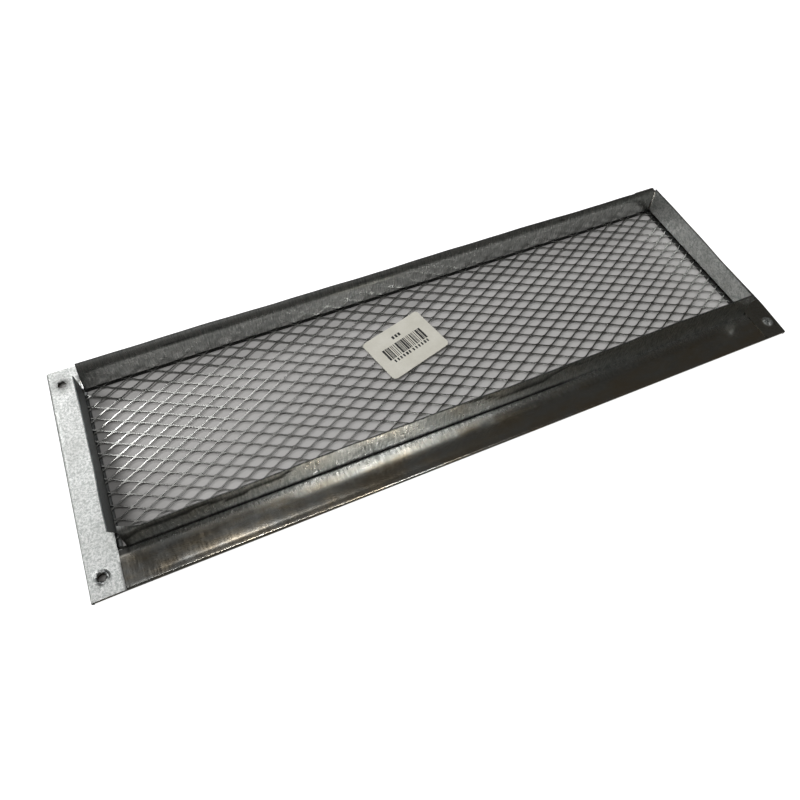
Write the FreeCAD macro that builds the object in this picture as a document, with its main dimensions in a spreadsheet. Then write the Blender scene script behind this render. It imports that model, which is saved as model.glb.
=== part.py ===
import FreeCAD, Part
import os
import math
import Sketcher

# A rectangular screened vent in folded galvanised sheet. Four folded rails make
# a flat nailing flange with an upright collar round its inner edge, and an
# expanded-metal screen is gripped between the two leaves of the flange.
# Millimetres, +Z up. The origin is the centre of the bounding box, on its floor.

os.makedirs("parts", exist_ok=True)
doc = FreeCAD.newDocument("screened_vent")

SHEET = "dims"

# ---------------------------------------------------------------- dimensions

DRIVING = [
    # sheet metal
    ("sheet_thickness", 0.5),
    ("bend_radius", 0.3),
    # collar, measured between the inner faces of the walls
    ("collar_length", 343.6),
    ("collar_width", 87.6),
    ("collar_height", 18.5),
    # flange width from the inner face of each wall to the outer edge
    ("end_flange", 15.4),
    ("front_flange", 18.7),
    ("rear_flange", 15.8),
    # height of the folded flange, both leaves and the gap between them
    ("long_stack", 2.0),
    ("end_stack", 2.5),
    # how far the lower leaf reaches in past the wall
    ("left_lip", 1.0),
    ("right_lip", 3.4),
    ("long_lip", 0.4),
    # the long walls lean out along their top edge
    ("flare_height", 5.0),
    ("flare_out", 2.3),
    ("end_flare_out", 0.2),
    # open corners of the collar: gap from each wall end to the plane of the next
    # wall, negative where the wall runs on past it
    ("front_wall_left_gap", 3.2),
    ("front_wall_right_gap", 1.0),
    ("rear_wall_left_foot_gap", 0.4),
    ("rear_wall_left_top_gap", 1.4),
    ("rear_wall_right_gap", 1.0),
    ("left_wall_front_foot_gap", 7.4),
    ("left_wall_front_top_gap", 1.4),
    ("left_wall_rear_foot_gap", 1.0),
    ("left_wall_rear_top_gap", 2.8),
    ("right_wall_front_foot_gap", 2.8),
    ("right_wall_front_top_gap", -3.6),
    ("right_wall_rear_foot_gap", 0.8),
    ("right_wall_rear_top_gap", -0.6),
    # clearance of a leaf or tongue inside its neighbour
    ("fit_clearance", 0.25),
    # nail holes
    ("nail_pitch_long", 362.0),
    ("nail_pitch_short", 104.0),
    ("nail_hole_diameter", 4.0),
    ("burr_base_radius", 3.1),
    ("burr_top_radius", 2.3),
    ("burr_height", 0.7),
    # expanded-metal screen
    ("screen_length", 356.0),
    ("screen_width", 103.0),
    ("screen_thickness", 1.0),
    ("diamond_long", 12.7),
    ("diamond_short", 6.94),
    ("strand_width", 1.0),
    ("screen_border", 0.8),
    ("first_bond_x", -4.6),
    ("first_bond_y", -0.69),
    # paper label
    ("label_length", 38.0),
    ("label_height", 28.0),
    ("label_corner", 2.5),
    ("label_thickness", 0.12),
    ("label_x", -13.0),
    ("label_y", 9.2),
    ("label_turn", 15.5),
]

DERIVED = [
    ("overall_length", "=collar_length + 2 * end_flange"),
    ("overall_width", "=collar_width + front_flange + rear_flange"),
    ("half_length", "=collar_length / 2"),
    ("front_wall_y", "=front_flange - overall_width / 2"),
    ("rear_wall_y", "=overall_width / 2 - rear_flange"),
    ("bend_out", "=sheet_thickness + bend_radius"),
    ("flare_foot", "=collar_height - flare_height"),
    ("screen_y", "=(front_wall_y + rear_wall_y) / 2"),
    ("screen_top", "=sheet_thickness + screen_thickness"),
    ("label_half_length", "=label_length / 2"),
    ("label_half_height", "=label_height / 2"),
    ("long_lip_in", "=0 - long_lip"),
    ("left_lip_in", "=0 - left_lip"),
    ("right_lip_in", "=0 - right_lip"),
    # folds at the outer edge of the flange
    ("long_fold", "=long_stack / 2"),
    ("end_fold", "=end_stack / 2"),
    ("long_under", "=long_stack - sheet_thickness"),
    ("end_under", "=end_stack - sheet_thickness"),
    ("long_bend_top", "=long_stack + bend_radius"),
    ("end_bend_top", "=end_stack + bend_radius"),
    ("front_fold_out", "=front_flange - long_fold"),
    ("rear_fold_out", "=rear_flange - long_fold"),
    ("end_fold_out", "=end_flange - end_fold"),
    ("flare_outer", "=flare_out + sheet_thickness"),
    ("end_flare_outer", "=end_flare_out + sheet_thickness"),
    # the long rails run on under the corner tabs as tongues
    ("tongue_reach", "=end_fold_out - fit_clearance"),
    ("long_rail_length", "=collar_length + 2 * tongue_reach"),
    ("long_half", "=long_rail_length / 2"),
    ("end_half", "=overall_width / 2"),
    # ends of each wall along its own rail: a is the -X end, b the +X end
    ("front_a_foot", "=front_wall_right_gap - half_length"),
    ("front_a_top", "=front_wall_right_gap - half_length"),
    ("front_b_foot", "=half_length - front_wall_left_gap"),
    ("front_b_top", "=half_length - front_wall_left_gap"),
    ("rear_a_foot", "=rear_wall_left_foot_gap - half_length"),
    ("rear_a_top", "=rear_wall_left_top_gap - half_length"),
    ("rear_b_foot", "=half_length - rear_wall_right_gap"),
    ("rear_b_top", "=half_length - rear_wall_right_gap"),
    ("left_a_foot", "=front_wall_y + left_wall_front_foot_gap"),
    ("left_a_top", "=front_wall_y + left_wall_front_top_gap"),
    ("left_b_foot", "=rear_wall_y - left_wall_rear_foot_gap"),
    ("left_b_top", "=rear_wall_y - left_wall_rear_top_gap"),
    ("right_a_foot", "=right_wall_rear_foot_gap - rear_wall_y"),
    ("right_a_top", "=right_wall_rear_top_gap - rear_wall_y"),
    ("right_b_foot", "=0 - front_wall_y - right_wall_front_foot_gap"),
    ("right_b_top", "=0 - front_wall_y - right_wall_front_top_gap"),
    # lower leaf of the end rails, cut back to clear the long rails
    ("leaf_front_y", "=front_wall_y + long_lip + fit_clearance"),
    ("leaf_rear_y", "=rear_wall_y - long_lip - fit_clearance"),
    ("nail_half_long", "=nail_pitch_long / 2"),
    ("nail_half_short", "=nail_pitch_short / 2"),
    ("nail_radius", "=nail_hole_diameter / 2"),
    ("nail_out_end", "=nail_half_long - half_length"),
    ("nail_out_front", "=nail_half_short + front_wall_y"),
    ("nail_out_rear", "=nail_half_short - rear_wall_y"),
]


def fill_sheet(sheet):
    """Write one named value per row, driving values first."""
    row = 1
    for name, value in DRIVING:
        sheet.set("A%d" % row, name)
        sheet.set("B%d" % row, str(value))
        sheet.setAlias("B%d" % row, name)
        row += 1
    for name, formula in DERIVED:
        sheet.set("A%d" % row, name)
        sheet.set("B%d" % row, formula)
        sheet.setAlias("B%d" % row, name)
        row += 1


dims = doc.addObject("Spreadsheet::Sheet", SHEET)
fill_sheet(dims)
doc.recompute()


def val(name):
    """Value of one sheet entry; a leading minus turns its sign."""
    if name == "0":
        return 0.0
    if name.startswith("-"):
        return -float(dims.get(name[1:]))
    return float(dims.get(name))


def ref(name):
    """Expression for the same entry."""
    if name == "0":
        return "0 mm"
    if name.startswith("-"):
        return "-%s.%s" % (SHEET, name[1:])
    return "%s.%s" % (SHEET, name)


# ------------------------------------------------------------ sketch helpers

def origin_plane(body, role):
    for feature in body.Origin.OriginFeatures:
        if feature.Role == role:
            return feature
    raise ValueError(role)


def new_sketch(body, role, label):
    sketch = body.newObject("Sketcher::SketchObject", label)
    sketch.AttachmentSupport = [(origin_plane(body, role), "")]
    sketch.MapMode = "FlatFace"
    return sketch


def pin(sketch, geo, point, x_name, y_name):
    """Hold one sketch point at a named position from the sketch origin."""
    for kind, name, path in (("DistanceX", x_name, 0), ("DistanceY", y_name, 1)):
        if name == "0":
            index = sketch.addConstraint(Sketcher.Constraint(
                "PointOnObject", geo, point, -2 if path == 0 else -1))
        else:
            index = sketch.addConstraint(Sketcher.Constraint(
                kind, -1, 1, geo, point, val(name)))
            sketch.setExpression("Constraints[%d]" % index, ref(name))


def closed_profile(sketch, outline):
    """Draw a closed outline.

    Each entry is (x name, y name, arc). arc is None where a straight line
    leaves the point, or (centre x name, centre y name, turn) for an arc that
    ends at the next point; turn is 1 counter-clockwise and -1 clockwise.
    """
    points = [FreeCAD.Vector(val(x), val(y), 0) for x, y, _ in outline]
    ends = []
    for i, (x_name, y_name, arc) in enumerate(outline):
        start = points[i]
        stop = points[(i + 1) % len(points)]
        if arc is None:
            geo = sketch.addGeometry(Part.LineSegment(start, stop), False)
            ends.append((geo, 1, 2))
            continue
        centre = FreeCAD.Vector(val(arc[0]), val(arc[1]), 0)
        circle = Part.Circle(centre, FreeCAD.Vector(0, 0, 1), (start - centre).Length)
        first = math.atan2(start.y - centre.y, start.x - centre.x)
        last = math.atan2(stop.y - centre.y, stop.x - centre.x)
        if arc[2] > 0:
            geo = sketch.addGeometry(Part.ArcOfCircle(circle, first, last), False)
            ends.append((geo, 1, 2))
        else:
            geo = sketch.addGeometry(Part.ArcOfCircle(circle, last, first), False)
            ends.append((geo, 2, 1))
        pin(sketch, geo, 3, arc[0], arc[1])
    for i, (geo, first, last) in enumerate(ends):
        following = ends[(i + 1) % len(ends)]
        sketch.addConstraint(Sketcher.Constraint(
            "Coincident", geo, last, following[0], following[1]))
    for i, (x_name, y_name, arc) in enumerate(outline):
        before = outline[i - 1][2]
        pin_outline_point(sketch, ends[i], x_name, y_name, arc, before)


def pin_outline_point(sketch, end, x_name, y_name, arc, before):
    """Pin a corner; the end of an arc needs one position only."""
    if before is None:
        pin(sketch, end[0], end[1], x_name, y_name)
        return
    if before[0] == x_name:
        index = sketch.addConstraint(Sketcher.Constraint(
            "DistanceX", -1, 1, end[0], end[1], val(x_name)))
        sketch.setExpression("Constraints[%d]" % index, ref(x_name))
    else:
        index = sketch.addConstraint(Sketcher.Constraint(
            "DistanceY", -1, 1, end[0], end[1], val(y_name)))
        sketch.setExpression("Constraints[%d]" % index, ref(y_name))


def quad(sketch, corners):
    closed_profile(sketch, [(x, y, None) for x, y in corners])


def symmetric_pad(body, sketch, label, length_name):
    pad = body.newObject("PartDesign::Pad", label)
    pad.Profile = sketch
    pad.SideType = "Symmetric"
    pad.setExpression("Length", ref(length_name))
    body.Tip = pad
    return pad


def cut_through(body, sketch, label):
    pocket = body.newObject("PartDesign::Pocket", label)
    pocket.Profile = sketch
    pocket.SideType = "Symmetric"
    pocket.Type = "ThroughAll"
    body.Tip = pocket
    return pocket


# --------------------------------------------------------------------- rails
#
# Every rail is drawn in its own axes: X along the rail, Y outward from the
# inner face of its wall, Z up. The placement turns it to its side of the vent.

def wall_outline(rail):
    """Wall, flared top edge and the bend down into the upper leaf."""
    bend_top = rail["bend_top"]
    return [
        ("bend_out", rail["under"], None),
        ("bend_out", rail["stack"], ("bend_out", bend_top, -1)),
        ("sheet_thickness", bend_top, None),
        ("sheet_thickness", "flare_foot", None),
        (rail["flare_outer"], "collar_height", None),
        (rail["flare_inner"], "collar_height", None),
        ("0", "flare_foot", None),
        ("0", bend_top, ("bend_out", bend_top, 1)),
    ]


def flange_outline(rail):
    """Upper leaf, rolled outer edge and lower leaf."""
    out = rail["fold_out"]
    fold = rail["fold"]
    return [
        ("bend_out", rail["stack"], None),
        ("bend_out", rail["under"], None),
        (out, rail["under"], (out, fold, -1)),
        (out, "sheet_thickness", None),
        (rail["lip"], "sheet_thickness", None),
        (rail["lip"], "0", None),
        (out, "0", (out, fold, 1)),
        (out, rail["stack"], None),
    ]


def add_wall(body, rail):
    sketch = new_sketch(body, "YZ_Plane", rail["label"] + "_wall_profile")
    closed_profile(sketch, wall_outline(rail))
    doc.recompute()
    symmetric_pad(body, sketch, rail["label"] + "_wall", rail["length"])
    doc.recompute()


def trim_wall_ends(body, rail):
    """Cut wall and bend back at both ends, leaving the open collar corners."""
    sketch = new_sketch(body, "XZ_Plane", rail["label"] + "_wall_ends")
    half = rail["half"]
    under = rail["under"]
    quad(sketch, [
        ("-" + half, under),
        (rail["a_foot"], under),
        (rail["a_top"], "collar_height"),
        ("-" + half, "collar_height"),
    ])
    quad(sketch, [
        (half, under),
        (rail["b_foot"], under),
        (rail["b_top"], "collar_height"),
        (half, "collar_height"),
    ])
    doc.recompute()
    cut_through(body, sketch, rail["label"] + "_corner_cut")
    doc.recompute()


def add_flange(body, rail):
    sketch = new_sketch(body, "YZ_Plane", rail["label"] + "_flange_profile")
    closed_profile(sketch, flange_outline(rail))
    doc.recompute()
    symmetric_pad(body, sketch, rail["label"] + "_flange", rail["length"])
    doc.recompute()


def notch_lower_leaf(body, rail):
    """Cut the lower leaf away where the long rails pass underneath."""
    sketch = new_sketch(body, "XY_Plane", rail["label"] + "_leaf_notches")
    half = rail["half"]
    quad(sketch, [
        ("-" + half, rail["lip"]),
        (rail["leaf_a"], rail["lip"]),
        (rail["leaf_a"], rail["fold_out"]),
        ("-" + half, rail["fold_out"]),
    ])
    quad(sketch, [
        (half, rail["lip"]),
        (rail["leaf_b"], rail["lip"]),
        (rail["leaf_b"], rail["fold_out"]),
        (half, rail["fold_out"]),
    ])
    doc.recompute()
    pocket = body.newObject("PartDesign::Pocket", rail["label"] + "_leaf_cut")
    pocket.Profile = sketch
    pocket.Reversed = True
    pocket.setExpression("Length", ref("sheet_thickness"))
    body.Tip = pocket
    doc.recompute()


def add_burrs(body, rail):
    """Raised burr thrown up round each nail hole where it was pierced."""
    for side in (-1, 1):
        cone = body.newObject("PartDesign::AdditiveCone", rail["label"] + "_burr")
        cone.AttachmentSupport = [(origin_plane(body, "XY_Plane"), "")]
        cone.MapMode = "FlatFace"
        cone.setExpression("Radius1", ref("burr_base_radius"))
        cone.setExpression("Radius2", ref("burr_top_radius"))
        cone.setExpression("Height", ref("burr_height"))
        x_ref = ref(rail["nail_along"]) if side > 0 else ref("-" + rail["nail_along"])
        cone.setExpression(".AttachmentOffset.Base.x", x_ref)
        cone.setExpression(".AttachmentOffset.Base.y", ref(rail["nail_out"]))
        cone.setExpression(".AttachmentOffset.Base.z", ref(rail["stack"]))
        body.Tip = cone
        doc.recompute()


def pierce_nail_holes(body, rail):
    sketch = new_sketch(body, "XY_Plane", rail["label"] + "_nail_holes")
    for sign in ("-", ""):
        along = sign + rail["nail_along"]
        centre = FreeCAD.Vector(val(along), val(rail["nail_out"]), 0)
        circle = Part.Circle(centre, FreeCAD.Vector(0, 0, 1), val("nail_radius"))
        geo = sketch.addGeometry(circle, False)
        pin(sketch, geo, 3, along, rail["nail_out"])
        index = sketch.addConstraint(Sketcher.Constraint(
            "Radius", geo, val("nail_radius")))
        sketch.setExpression("Constraints[%d]" % index, ref("nail_radius"))
    doc.recompute()
    cut_through(body, sketch, rail["label"] + "_nail_cut")
    doc.recompute()


def build_rail(rail):
    body = doc.addObject("PartDesign::Body", rail["label"])
    body.Label = rail["label"]
    doc.recompute()
    add_wall(body, rail)
    trim_wall_ends(body, rail)
    add_flange(body, rail)
    if rail["is_end"]:
        notch_lower_leaf(body, rail)
        add_burrs(body, rail)
    pierce_nail_holes(body, rail)
    x_ref = ref(rail["place_x"])
    y_ref = ref(rail["place_y"])
    turn = FreeCAD.Rotation(FreeCAD.Vector(0, 0, 1), rail["turn"])
    body.Placement = FreeCAD.Placement(
        FreeCAD.Vector(val(rail["place_x"]), val(rail["place_y"]), 0), turn)
    body.setExpression(".Placement.Base.x", x_ref)
    body.setExpression(".Placement.Base.y", y_ref)
    doc.recompute()
    return body


def long_rail(side, place_y, turn):
    return {
        "label": side + "_rail", "is_end": False, "turn": turn,
        "place_x": "0", "place_y": place_y,
        "length": "long_rail_length", "half": "long_half",
        "stack": "long_stack", "under": "long_under", "fold": "long_fold",
        "bend_top": "long_bend_top", "fold_out": side + "_fold_out",
        "lip": "long_lip_in",
        "flare_inner": "flare_out", "flare_outer": "flare_outer",
        "a_foot": side + "_a_foot", "a_top": side + "_a_top",
        "b_foot": side + "_b_foot", "b_top": side + "_b_top",
        "nail_along": "nail_half_long", "nail_out": "nail_out_" + side,
    }


def end_rail(side, place_x, turn, leaf_a, leaf_b):
    return {
        "label": side + "_end_rail", "is_end": True, "turn": turn,
        "place_x": place_x, "place_y": "0",
        "length": "overall_width", "half": "end_half",
        "stack": "end_stack", "under": "end_under", "fold": "end_fold",
        "bend_top": "end_bend_top", "fold_out": "end_fold_out",
        "lip": side + "_lip_in",
        "flare_inner": "end_flare_out", "flare_outer": "end_flare_outer",
        "a_foot": side + "_a_foot", "a_top": side + "_a_top",
        "b_foot": side + "_b_foot", "b_top": side + "_b_top",
        "leaf_a": leaf_a, "leaf_b": leaf_b,
        "nail_along": "nail_half_short", "nail_out": "nail_out_end",
    }


RAILS = [
    long_rail("front", "front_wall_y", 180),
    long_rail("rear", "rear_wall_y", 0),
    end_rail("left", "-half_length", 90, "leaf_front_y", "leaf_rear_y"),
    end_rail("right", "half_length", -90, "-leaf_rear_y", "-leaf_front_y"),
]


# -------------------------------------------------------------------- screen

def diamond(centre, half_long, half_short):
    corners = [
        centre + FreeCAD.Vector(half_long, 0, 0),
        centre + FreeCAD.Vector(0, -half_short, 0),
        centre + FreeCAD.Vector(-half_long, 0, 0),
        centre + FreeCAD.Vector(0, half_short, 0),
    ]
    return Part.makePolygon(corners + corners[:1])


def opening_scale():
    """Shrink of the diamond grid cell that leaves strands of the set width."""
    long_way = val("diamond_long")
    short_way = val("diamond_short")
    strand_pitch = long_way * short_way / math.hypot(long_way, short_way)
    return 1 - val("strand_width") / strand_pitch


def diamond_centres():
    """Opening centres inside the border, in staggered rows."""
    long_way = val("diamond_long")
    short_way = val("diamond_short")
    reach_x = val("screen_length") / 2 - val("screen_border")
    reach_y = val("screen_width") / 2 - val("screen_border")
    scale = opening_scale()
    half_long = long_way / 2 * scale
    half_short = short_way / 2 * scale
    centres = []
    for row in range(-40, 41):
        y = val("first_bond_y") + row * short_way / 2
        if abs(y - val("screen_y")) + half_short > reach_y:
            continue
        stagger = long_way / 2 if row % 2 == 0 else 0.0
        for column in range(-20, 21):
            x = val("first_bond_x") + stagger + column * long_way
            if abs(x) + half_long <= reach_x:
                centres.append(FreeCAD.Vector(x, y, 0))
    return centres


def screen_shape():
    """Slit and stretched sheet: one plate with a grid of diamond openings."""
    length = val("screen_length")
    width = val("screen_width")
    outline = Part.makePlane(length, width, FreeCAD.Vector(
        -length / 2, val("screen_y") - width / 2, 0)).OuterWire
    scale = opening_scale()
    half_long = val("diamond_long") / 2 * scale
    half_short = val("diamond_short") / 2 * scale
    openings = [diamond(c, half_long, half_short) for c in diamond_centres()]
    face = Part.Face([outline] + openings)
    return face.extrude(FreeCAD.Vector(0, 0, val("screen_thickness")))


def build_screen():
    screen = doc.addObject("Part::Feature", "expanded_metal_screen")
    screen.Label = "expanded_metal_screen"
    screen.Shape = screen_shape()
    screen.Placement = FreeCAD.Placement(
        FreeCAD.Vector(0, 0, val("sheet_thickness")), FreeCAD.Rotation())
    screen.setExpression(".Placement.Base.z", ref("sheet_thickness"))
    doc.recompute()
    return screen


# --------------------------------------------------------------------- label

def build_label():
    """Small paper sticker with rounded corners, lying on the strands."""
    body = doc.addObject("PartDesign::Body", "paper_label")
    body.Label = "paper_label"
    doc.recompute()
    sketch = new_sketch(body, "XY_Plane", "label_outline")
    quad(sketch, [
        ("-label_half_length", "-label_half_height"),
        ("label_half_length", "-label_half_height"),
        ("label_half_length", "label_half_height"),
        ("-label_half_length", "label_half_height"),
    ])
    doc.recompute()
    pad = body.newObject("PartDesign::Pad", "label_sheet")
    pad.Profile = sketch
    pad.setExpression("Length", ref("label_thickness"))
    body.Tip = pad
    doc.recompute()
    upright = []
    for number, edge in enumerate(pad.Shape.Edges, start=1):
        along = edge.Vertexes[0].Point - edge.Vertexes[-1].Point
        if abs(along.x) < 1e-6 and abs(along.y) < 1e-6:
            upright.append("Edge%d" % number)
    corners = body.newObject("PartDesign::Fillet", "label_corners")
    corners.Base = (pad, upright)
    corners.setExpression("Radius", ref("label_corner"))
    body.Tip = corners
    turn = FreeCAD.Rotation(FreeCAD.Vector(0, 0, 1), val("label_turn"))
    body.Placement = FreeCAD.Placement(
        FreeCAD.Vector(val("label_x"), val("label_y"), val("screen_top")), turn)
    body.setExpression(".Placement.Base.x", ref("label_x"))
    body.setExpression(".Placement.Base.y", ref("label_y"))
    body.setExpression(".Placement.Base.z", ref("screen_top"))
    doc.recompute()
    return body


# -------------------------------------------------------------------- export

def check_document():
    for obj in doc.Objects:
        for word in ("Invalid", "Error"):
            if word in obj.State:
                raise RuntimeError("%s is %s" % (obj.Label, word))


def export_nodes(nodes):
    for node in nodes:
        shape = node.Shape
        if not shape.isValid() or len(shape.Solids) != 1:
            raise RuntimeError("bad shape in " + node.Label)
        shape.exportStep("parts/%s.step" % node.Label)
        box = shape.BoundBox
        print("%-24s x %8.2f %8.2f  y %8.2f %8.2f  z %6.2f %6.2f  volume %9.1f" % (
            node.Label, box.XMin, box.XMax, box.YMin, box.YMax,
            box.ZMin, box.ZMax, shape.Volume))


nodes = [build_rail(rail) for rail in RAILS]
nodes.append(build_screen())
nodes.append(build_label())
doc.recompute()
check_document()
export_nodes(nodes)
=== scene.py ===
import math
import random

import bpy
from mathutils import Matrix, Vector


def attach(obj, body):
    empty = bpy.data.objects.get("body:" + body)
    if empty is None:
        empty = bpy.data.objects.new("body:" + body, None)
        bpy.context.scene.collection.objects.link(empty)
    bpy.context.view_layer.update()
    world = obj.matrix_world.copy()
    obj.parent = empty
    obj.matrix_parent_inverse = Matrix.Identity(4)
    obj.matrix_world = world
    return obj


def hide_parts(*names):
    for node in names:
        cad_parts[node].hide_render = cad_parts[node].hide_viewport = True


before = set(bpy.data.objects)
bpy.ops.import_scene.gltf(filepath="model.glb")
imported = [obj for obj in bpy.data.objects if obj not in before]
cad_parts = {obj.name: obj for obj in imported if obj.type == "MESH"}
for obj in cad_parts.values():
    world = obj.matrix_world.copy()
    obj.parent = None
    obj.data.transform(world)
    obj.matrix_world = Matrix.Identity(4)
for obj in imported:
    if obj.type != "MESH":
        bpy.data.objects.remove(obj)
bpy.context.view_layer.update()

# A screened wall vent, folded from galvanised sheet. Lengths of the vent are in
# millimetres and are turned to metres by MM when a mesh is made; the materials,
# the stage and the camera are in metres. The rails are built in their own axes,
# as in the CAD: X along the rail, Y outward from the wall's inner face, Z up.

MM = 0.001
SHEET = 0.5
BEND = 0.3

HALF_LENGTH = 171.8
FRONT_WALL_Y = -42.35
REAR_WALL_Y = 45.25
HEIGHT = 18.5
NAIL_X = 181.0
NAIL_Y = 52.0
NAIL_R = 2.0


# ----------------------------------------------------------------- utilities

def clamp(value):
    return min(1.0, max(0.0, value))


def smooth(t):
    """Ease from 0 to 1, level at both ends."""
    return t * t * (3 - 2 * t)


def make_object(name, verts, faces):
    mesh = bpy.data.meshes.new(name)
    mesh.from_pydata([tuple(c * MM for c in v) for v in verts], [], faces)
    mesh.update()
    obj = bpy.data.objects.new(name, mesh)
    bpy.context.scene.collection.objects.link(obj)
    return obj


def shade(obj, angle):
    mesh = obj.data
    mesh.polygons.foreach_set("use_smooth", [True] * len(mesh.polygons))
    mesh.set_sharp_from_angle(angle=math.radians(angle))
    mesh.update()


def freeze(obj, angle):
    """Keep the modified mesh as the object's own, with crisp sheet edges."""
    graph = bpy.context.evaluated_depsgraph_get()
    done = bpy.data.meshes.new_from_object(obj.evaluated_get(graph))
    obj.modifiers.clear()
    obj.data = done
    done.name = obj.name
    shade(obj, angle)


RAIL_SHARP = 40
FINE_SHARP = 30
EASED_ABOVE = 40


def thicken(obj, thickness, sharp, rounding=0.0):
    """Give a mid-surface its sheet thickness, with eased edges if asked."""
    solid = obj.modifiers.new("thickness", "SOLIDIFY")
    solid.thickness = thickness * MM
    solid.offset = 0
    solid.use_even_offset = True
    if rounding:
        ease = obj.modifiers.new("eased_edges", "BEVEL")
        ease.width = rounding * MM
        ease.segments = 1
        ease.limit_method = "ANGLE"
        ease.angle_limit = math.radians(EASED_ABOVE)
    freeze(obj, sharp)


def turn_and_shift(obj, degrees, place):
    """Turn a mesh about Z and move it to a place in the vent's own axes."""
    turn = Matrix.Rotation(math.radians(degrees), 4, "Z")
    shift = Matrix.Translation(Vector((place[0] * MM, place[1] * MM, 0)))
    obj.data.transform(shift @ turn)


def wave(x, seed, parts):
    """Sum of a few long sine waves: the slight waviness of thin sheet."""
    rng = random.Random(seed)
    total = 0.0
    for length, height in parts:
        total += height * math.sin(2 * math.pi * (x / length + rng.random()))
    return total


# --------------------------------------------------- rails: the folded sheet

# Above FLARE_FOOT the wall leans, more and more towards its top.
FLARE_FOOT = 13.5
FLARE_CURVE = 1.9

# How far apart the cross-section's points are: on the flare, on the wall below
# it, in the pressed channel, and on the upper and lower leaves.
FLARE_STEP = 1.0
WALL_STEP = 2.2
CHANNEL_STEP = 0.1
UPPER_STEP = 1.6
LOWER_STEP = 2.0
PLAIN_LOWER_STEP = 3.0
ALONG_STEP = 3.5
BEND_STEPS = 5
FOLD_STEPS = 8
FOOT_EDGE = 0.12
CHANNEL = 0.8

# Round each nail hole a square of even cells, BLOCK to each side, makes way for
# rings of faces.
BLOCK = 4.0
BLOCK_CELLS = 6
BLOCK_CELL = 2 * BLOCK / BLOCK_CELLS

SAME = 1e-6


def arc(centre, radius, start, stop, steps):
    """Points on an arc, in degrees, without its first point."""
    points = []
    for k in range(1, steps + 1):
        a = math.radians(start + (stop - start) * k / steps)
        points.append((centre[0] + radius * math.cos(a),
                       centre[1] + radius * math.sin(a)))
    return points


def spread(start, stop, step):
    """Evenly spaced values from start to stop, without the first."""
    count = max(1, round(abs(stop - start) / step))
    return [start + (stop - start) * k / count for k in range(1, count + 1)]


def leaf_stations(start, stop, hole, step):
    """Positions across a leaf, with even cells round the nail hole."""
    near, far = hole - BLOCK, hole + BLOCK
    if start > stop:
        near, far = far, near
    return (spread(start, near, step) + spread(near, far, BLOCK_CELL)
            + spread(far, stop, step))


def rail_profile(rail):
    """Mid-surface of the folded sheet, from the wall's top to the lower tip."""
    mid = SHEET / 2
    stack = rail["stack"]
    fold = stack / 2
    fold_out = rail["flange"] - fold
    bend_out = SHEET + BEND
    foot_z = stack + BEND
    top_z = stack - mid
    points = []
    for z in [HEIGHT] + spread(HEIGHT, FLARE_FOOT, FLARE_STEP):
        lean = (z - FLARE_FOOT) / (HEIGHT - FLARE_FOOT)
        points.append((mid + rail["flare"] * lean ** FLARE_CURVE, z))
    points += [(mid, z) for z in spread(FLARE_FOOT, foot_z + FOOT_EDGE, WALL_STEP)]
    points.append((mid, foot_z))
    points += arc((bend_out, foot_z), BEND + mid, 180, 270, BEND_STEPS)
    foot = len(points) - 1
    if rail["pinch"]:
        points += [(y, top_z)
                   for y in spread(bend_out, bend_out + CHANNEL, CHANNEL_STEP)]
    upper = leaf_stations(points[-1][0], fold_out, rail["nail_out"], UPPER_STEP)
    points += [(y, top_z) for y in upper]
    upper_end = len(points) - 1
    points += arc((fold_out, fold), fold - mid, 90, -90, FOLD_STEPS)
    lower_start = len(points) - 1
    if rail["lower_holes"]:
        low = leaf_stations(fold_out, -rail["lip"], rail["nail_out"], LOWER_STEP)
    else:
        low = spread(fold_out, -rail["lip"], PLAIN_LOWER_STEP)
    points += [(y, mid) for y in low]
    return points, foot, upper_end, lower_start


def stations_along(rail):
    """Positions of the cross-sections along a rail."""
    marks = {-rail["half"], rail["half"], *rail["foot_ends"], *rail["leaf_ends"]}
    for side in (-1, 1):
        hole = side * rail["nail_along"]
        for k in range(BLOCK_CELLS + 1):
            marks.add(hole - BLOCK + k * BLOCK_CELL)
    marks = sorted(marks)
    xs = [marks[0]]
    for mark in marks[1:]:
        if mark - xs[-1] > SAME:
            xs += spread(xs[-1], mark, ALONG_STEP)
    return xs


# ------------------------------------------- rails: small departures of shape

CHANNEL_UP = 2.5
CHANNEL_OUT = 0.6
DIMPLE_REACH = 3.4
CALM_FADE = 14
DROOP_START = 0.69
DROOP_RUN = 0.31

EAR_SIZE = 3.2
EAR_SLANT = 0.4
EAR_IN = 1.2
EAR_DOWN = 0.42


def channel(rail, y, z, foot_z):
    """Shallow channel pressed along the wall's foot, which grips the screen."""
    if z > foot_z:
        return -rail["pinch"] * max(0.0, 1 - (z - foot_z) / CHANNEL_UP)
    climb = clamp((y - BEND - SHEET) / CHANNEL_OUT)
    return -rail["pinch"] * (1 - smooth(climb))


def dimple(rail, x, y):
    """Sheet pressed down round the nail holes that were punched from above."""
    drop = 0.0
    for along, depth in rail["dimples"]:
        radius = math.hypot(x - along, y - rail["nail_out"])
        drop -= depth * math.exp(-(radius / DIMPLE_REACH) ** 2)
    return drop


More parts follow.
